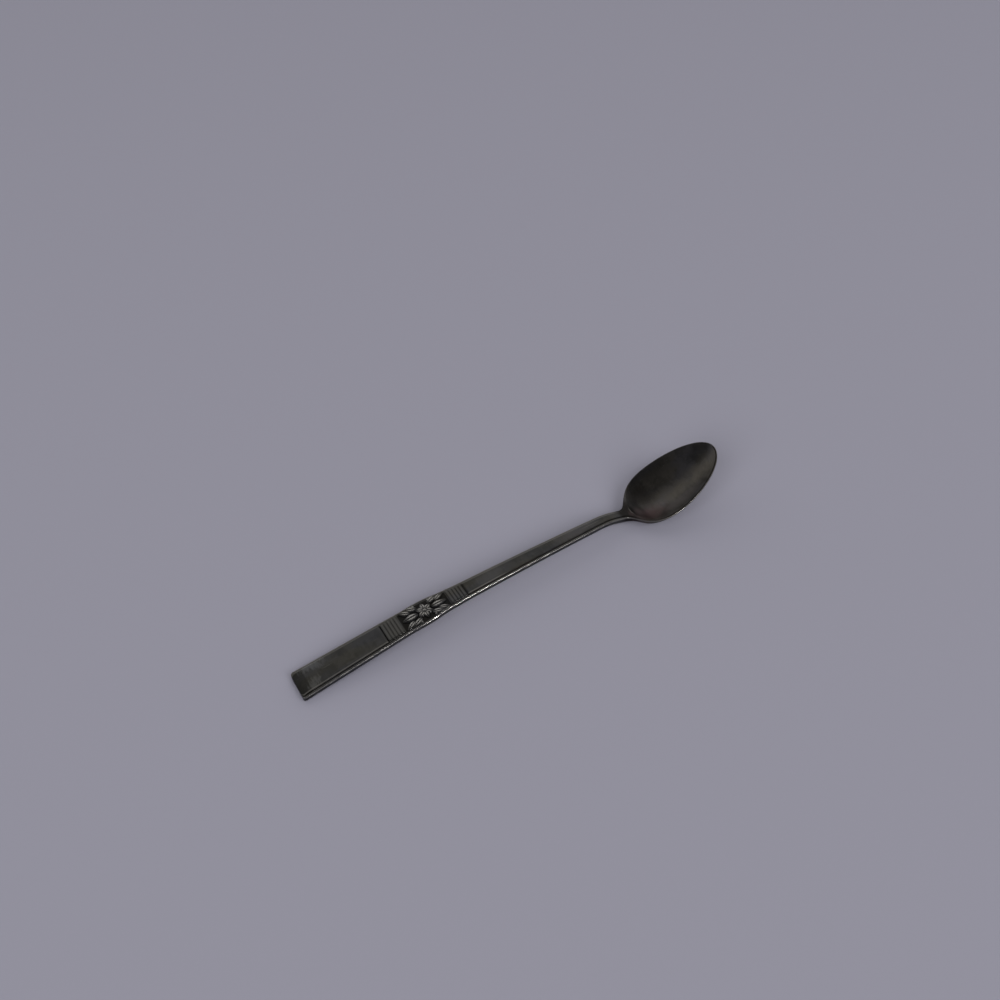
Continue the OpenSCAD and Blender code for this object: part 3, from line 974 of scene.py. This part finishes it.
def silver_plate(name, tones, bright, gloss, patches=(), bowl_tones_with_painted_light=None):
    """Tarnished silver plate: cloudy tarnish, stains and patches of painted light and shade, black
    recesses, worn edges with painted sheen, fine scratches.
    Given bowl tones, the tarnish changes to them from the neck to the bowl; they are lighter, partly as
    a painted lift of light."""
    material, tree, shader = new_material(name)
    where = put(tree, "ShaderNodeTexCoord").outputs["Object"]

    # Tarnish
    clouds = noise(tree, where, cloud_scale, detail=5, roughness=0.6, distortion=0.4)
    cloud = spread(tree, clouds, *cloud_range)
    bands = streaky(tree, where, band_scale, detail=3, roughness=0.6)
    cloudy = spread(tree, calc(tree, "ADD", cloud, bands), *tarnish_range)
    tone = colour_mix(tree, cloudy, *tones)
    rough = spread(tree, cloud, 0.0, 1.0, *gloss)
    # The bowl's lighter tones are partly a painted lift of light
    if bowl_tones_with_painted_light:
        along = put(tree, "ShaderNodeSeparateXYZ", {0: where}).outputs[0]
        in_bowl = spread(tree, along, rim_start, rim_end)
        tone = colour_mix(tree, in_bowl, tone, colour_mix(tree, cloudy, *bowl_tones_with_painted_light))
        rough = calc(tree, "MULTIPLY_ADD", in_bowl, bowl_dullness, rough)
    drift = streaky(tree, where, drift_scale, detail=2, roughness=0.5)
    tint = colour_mix(tree, spread(tree, drift, *drift_range), warm_tint, cool_tint)
    tone = colour_mix(tree, 1.0, tone, tint, "MULTIPLY")

    # Stains, and patches of painted light and shade
    streaks = streaky(tree, where, streak_scale, detail=6, roughness=0.7, distortion=0.5)
    for centre, reach, core, ragged, strength, patch_tone in patches:
        mask = patch(tree, where, streaks, centre, reach, core, ragged)
        tone = colour_mix(tree, calc(tree, "MULTIPLY", mask, strength), tone, patch_tone)

    # Wear, partly painted sheen and highlights, and scratches
    speck = noise(tree, where, speck_scale, detail=3, roughness=0.6)
    wear_and_sheen = calc(tree, "MULTIPLY_ADD", speck, wear_speckle, attribute(tree, "wear_and_sheen"))
    wear = spread(tree, wear_and_sheen, wear_start, 1.0)
    tone = colour_mix(tree, wear, tone, bright)
    scratch = calc(tree, "MULTIPLY", scratches(tree, where), calc(tree, "SUBTRACT", 1.0, wear))
    tone = colour_mix(tree, calc(tree, "MULTIPLY", scratch, scratch_share), tone, bright)

    # Recesses
    recess = spread(tree, attribute(tree, "recess"), *recess_range)
    recess = calc(tree, "MULTIPLY", recess, recess_share)
    tone = colour_mix(tree, recess, tone, recess_black)

    # Roughness and bump
    rough = calc(tree, "MULTIPLY_ADD", wear, -wear_polish, rough)
    rough = calc(tree, "MULTIPLY_ADD", recess, recess_dullness, rough)
    specks = calc(tree, "MULTIPLY", speck, speck_height)
    height = calc(tree, "MULTIPLY_ADD", scratch, -scratch_depth, specks)
    bump = put(tree, "ShaderNodeBump", {
        "Strength": bump_share, "Distance": bump_height, "Height": height}).outputs[0]
    tree.links.new(tone, shader.inputs["Base Color"])
    tree.links.new(rough, shader.inputs["Roughness"])
    tree.links.new(bump, shader.inputs["Normal"])
    shader.inputs["Metallic"].default_value = 1.0
    return material


# Each stain, smudge, darkening and patch of painted light and shade: centre, reach, core, raggedness,
# strength, colour
soft_core = 0.2
end_smudges_and_darkening = [
    # A dark patch over the rolled-down end, then two smudges
    ((x_end, 0, 3 * mm), (4.5 * mm, 40 * mm, 20 * mm), 0.82, 0.3, 0.5,
     (0.016, 0.016, 0.015, 1)),
    ((x_end + 8.0 * mm, 4.5 * mm, 4 * mm), (7 * mm, 3 * mm, 9 * mm), soft_core, 3.0, 0.55,
     (0.13, 0.133, 0.142, 1)),
    ((x_end + 6.0 * mm, -3.0 * mm, 4 * mm), (3 * mm, 3.5 * mm, 9 * mm), soft_core, 4.0, 0.5,
     (0.112, 0.112, 0.110, 1)),
]
reed_stains = [
    (((x_rear + x_ornament) / 2, 0, 6 * mm), (4.5 * mm, 8 * mm, 9 * mm), 0.7, 0.3, 0.5,
     (0.074, 0.073, 0.071, 1)),
]
stem_stains = [
    ((x_stem + 11 * mm, 0, 9 * mm), (9 * mm, 4 * mm, 9 * mm), soft_core, 1.5, 0.6,
     (0.080, 0.079, 0.082, 1)),
    ((x_stem + 51 * mm, 0.5 * mm, 9 * mm), (13 * mm, 4 * mm, 9 * mm), soft_core, 1.5, 0.6,
     (0.083, 0.080, 0.085, 1)),
]
# A dark patch over the heel, where the neck runs into the bowl
heel_darkening = [
    ((x_heel - 1.6 * mm, 1 * mm, 6 * mm), (5 * mm, 13 * mm, 8 * mm), 0.5, 0.3, 0.9,
     (0.014, 0.012, 0.011, 1)),
]
bowl_stains_and_painted_light = [
    ((x_heel + 8 * mm, -4 * mm, 4 * mm), (11 * mm, 7 * mm, 9 * mm), soft_core, 1.2, 0.85,
     (0.118, 0.080, 0.083, 1)),
    # Painted light: a lighter patch in the heel of the hollow
    ((x_heel + 4.5 * mm, -0.8 * mm, 3 * mm), (3 * mm, 3.5 * mm, 9 * mm), soft_core, 0.8, 0.8,
     (0.20, 0.160, 0.165, 1)),
    # Painted reflection: a lighter patch on the near inside wall
    ((x_heel + 21 * mm, -7.5 * mm, 6 * mm), (10 * mm, 4 * mm, 9 * mm), soft_core, 0.8, 0.8,
     (0.165, 0.153, 0.149, 1)),
    # Painted shade: the far inside wall darkened
    ((x_heel + 14 * mm, 12 * mm, 10 * mm), (22 * mm, 7 * mm, 10 * mm), soft_core, 0.6, 0.4,
     (0.022, 0.022, 0.022, 1)),
    # Painted shade: the far side darkened near the heel
    ((x_heel + 10 * mm, 5 * mm, 3 * mm), (11 * mm, 7.5 * mm, 8 * mm), soft_core, 0.7, 0.7,
     (0.032, 0.029, 0.028, 1)),
    # Painted shade: the far side darkened towards the tip
    ((x_heel + 37.5 * mm, 3.5 * mm, 17 * mm), (8 * mm, 6 * mm, 9 * mm), soft_core, 0.5, 0.6,
     (0.030, 0.030, 0.029, 1)),
    ((x_low, 0, 0), (7 * mm, 5 * mm, 0.7 * mm), soft_core, 0.8, 0.6,
     (0.20, 0.195, 0.185, 1)),
]

# Each plate: darkest and lightest tarnish, bare metal (also the colour of the painted sheen), least
# and greatest roughness
handle_tones = ((0.039, 0.0387, 0.0372, 1), (0.057, 0.0565, 0.0550, 1))
# The bowl's tarnish is lighter than the handle's, partly as a painted lift of light
bowl_tones_with_painted_light = ((0.078, 0.074, 0.070, 1), (0.114, 0.108, 0.103, 1))
relief_tones = ((0.052, 0.051, 0.048, 1), (0.078, 0.076, 0.073, 1))
spoon_bright = (0.32, 0.31, 0.29, 1)
relief_bright = (0.38, 0.37, 0.355, 1)
spoon_gloss = (0.36, 0.46)
relief_gloss = (0.24, 0.32)
stains_and_painted_light = end_smudges_and_darkening + reed_stains + stem_stains + heel_darkening + bowl_stains_and_painted_light
spoon_plate = silver_plate(
    "spoon_plate", handle_tones, spoon_bright, spoon_gloss, stains_and_painted_light, bowl_tones_with_painted_light)
relief_plate = silver_plate("relief_plate", relief_tones, relief_bright, relief_gloss)

# Pieces
rear_breaks = (x_rear + wall_run, x_ornament - wall_run)
front_breaks = (x_front + wall_run, x_stem - wall_run)
stretches = {
    "terminal": end_panel(),
    "rear_reeding": handle_stretch("rear_reeding", x_rear, x_ornament, reeding_steps, rear_breaks),
    "ornament_panel": handle_stretch("ornament_panel", x_ornament, x_front, ornament_steps),
    "front_reeding": handle_stretch("front_reeding", x_front, x_stem, reeding_steps, front_breaks),
    "stem": handle_stretch("stem", x_stem, x_neck, stem_steps),
    "neck": handle_stretch("neck", x_neck, x_bowl, neck_steps),
    "bowl": bowl_shell(),
}
for node, piece in stretches.items():
    piece.data.materials.append(spoon_plate)
    piece.name = node + "_skin"
    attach(piece, "root")
    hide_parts(node)

band = reeding_tree()
raised = [
    reeds("rear_reeds", band, x_rear, x_ornament, end_slope, spoon_plate),
    reeds("front_reeds", band, x_front, x_stem, stem_slope, spoon_plate),
    leaf_relief(relief_plate),
]
for piece in raised:
    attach(piece, "root")

# Floor
floor_radius = 6.0
floor_sides = 96
floor_tone = (0.272, 0.267, 0.321, 1)
floor_roughness = 0.9
floor_mesh = bpy.data.meshes.new("floor")
turns = [2 * math.pi * k / floor_sides for k in range(floor_sides)]
border = [(floor_radius * math.cos(a), floor_radius * math.sin(a), 0) for a in turns]
floor_mesh.from_pydata(border, [], [tuple(range(floor_sides))])
floor_paint, _, floor_shader = new_material("floor_paint")
floor_shader.inputs["Base Color"].default_value = floor_tone
floor_shader.inputs["Roughness"].default_value = floor_roughness
floor_shader.inputs["Specular IOR Level"].default_value = 0.0
floor_mesh.materials.append(floor_paint)
floor_sheet = add_piece("floor", floor_mesh)

# Light: a plain grey world that is brighter on the far side and near the horizon, two large softboxes
# for the floor, and a small low lamp for the bright line along the near thread
far_direction = (0.4, 0.92, 0)
far_range = (-0.15, 0.6)
horizon_range = (0.02, 0.12)
bright_sky = (0.86, 0.85, 0.83, 1)
dark_sky = (0.15, 0.15, 0.155, 1)
horizon_sky = (0.40, 0.40, 0.42, 1)
world = bpy.data.worlds.new("studio")
bpy.context.scene.world = world
world.use_nodes = True
sky = world.node_tree
direction = put(sky, "ShaderNodeTexCoord").outputs["Generated"]
toward_far = put(
    sky, "ShaderNodeVectorMath", {0: direction, 1: far_direction}, operation="DOT_PRODUCT")
far_share = spread(sky, toward_far.outputs["Value"], *far_range)
up = put(sky, "ShaderNodeSeparateXYZ", {0: direction}).outputs[2]
high = colour_mix(sky, far_share, dark_sky, bright_sky)
low = colour_mix(sky, far_share, horizon_sky, bright_sky)
sky_tone = colour_mix(sky, spread(sky, up, *horizon_range), low, high)
sky.links.new(sky_tone, sky.nodes["Background"].inputs["Color"])
sky.nodes["Background"].inputs["Strength"].default_value = 1.0


def softbox(name, toward, distance, size, power, mirrored):
    """Square lamp in a direction from the spoon. If mirrored it shows in the metal alone, else it
    lights the floor alone."""
    lamp = bpy.data.lights.new(name, "AREA")
    lamp.size = size
    lamp.energy = power
    box = bpy.data.objects.new(name, lamp)
    bpy.context.scene.collection.objects.link(box)
    line = Vector(toward).normalized()
    box.location = line * distance
    box.rotation_euler = line.to_track_quat("Z", "Y").to_euler()
    box.visible_glossy = mirrored
    box.visible_diffuse = not mirrored


studio_distance = 5.0
studio_size = 3.33
softbox("key", (0.4, -0.85, 0.8), studio_distance, studio_size, power=127.0, mirrored=False)
softbox("fill", (-0.85, -0.45, 0.8), studio_distance, studio_size, power=146.0, mirrored=False)
softbox("glint", (0.24, -0.967, 0.055), distance=1.0, size=0.06, power=3.3, mirrored=True)

# Camera at the photograph's place
camera_place = Vector((-123.14, -195.45, 322.44)) * mm
camera_turn = math.radians(30.614)
camera_dip = math.radians(50.011)
camera_roll = math.radians(1.386)
right = Vector((math.cos(camera_turn), -math.sin(camera_turn), 0))
ahead = Vector((
    math.sin(camera_turn) * math.cos(camera_dip),
    math.cos(camera_turn) * math.cos(camera_dip),
    -math.sin(camera_dip),
))
above = right.cross(ahead)
camera_x = right * math.cos(camera_roll) - above * math.sin(camera_roll)
camera_y = above * math.cos(camera_roll) + right * math.sin(camera_roll)
lens = bpy.data.cameras.new("camera")
lens.sensor_width = 36
lens.lens = 36
lens.clip_start = 0.01
lens.clip_end = 20
camera = bpy.data.objects.new("camera", lens)
bpy.context.scene.collection.objects.link(camera)
axes = Matrix((camera_x, camera_y, -ahead)).transposed().to_4x4()
camera.matrix_world = Matrix.Translation(camera_place) @ axes
bpy.context.scene.camera = camera
bpy.context.scene.view_settings.view_transform = "Standard"
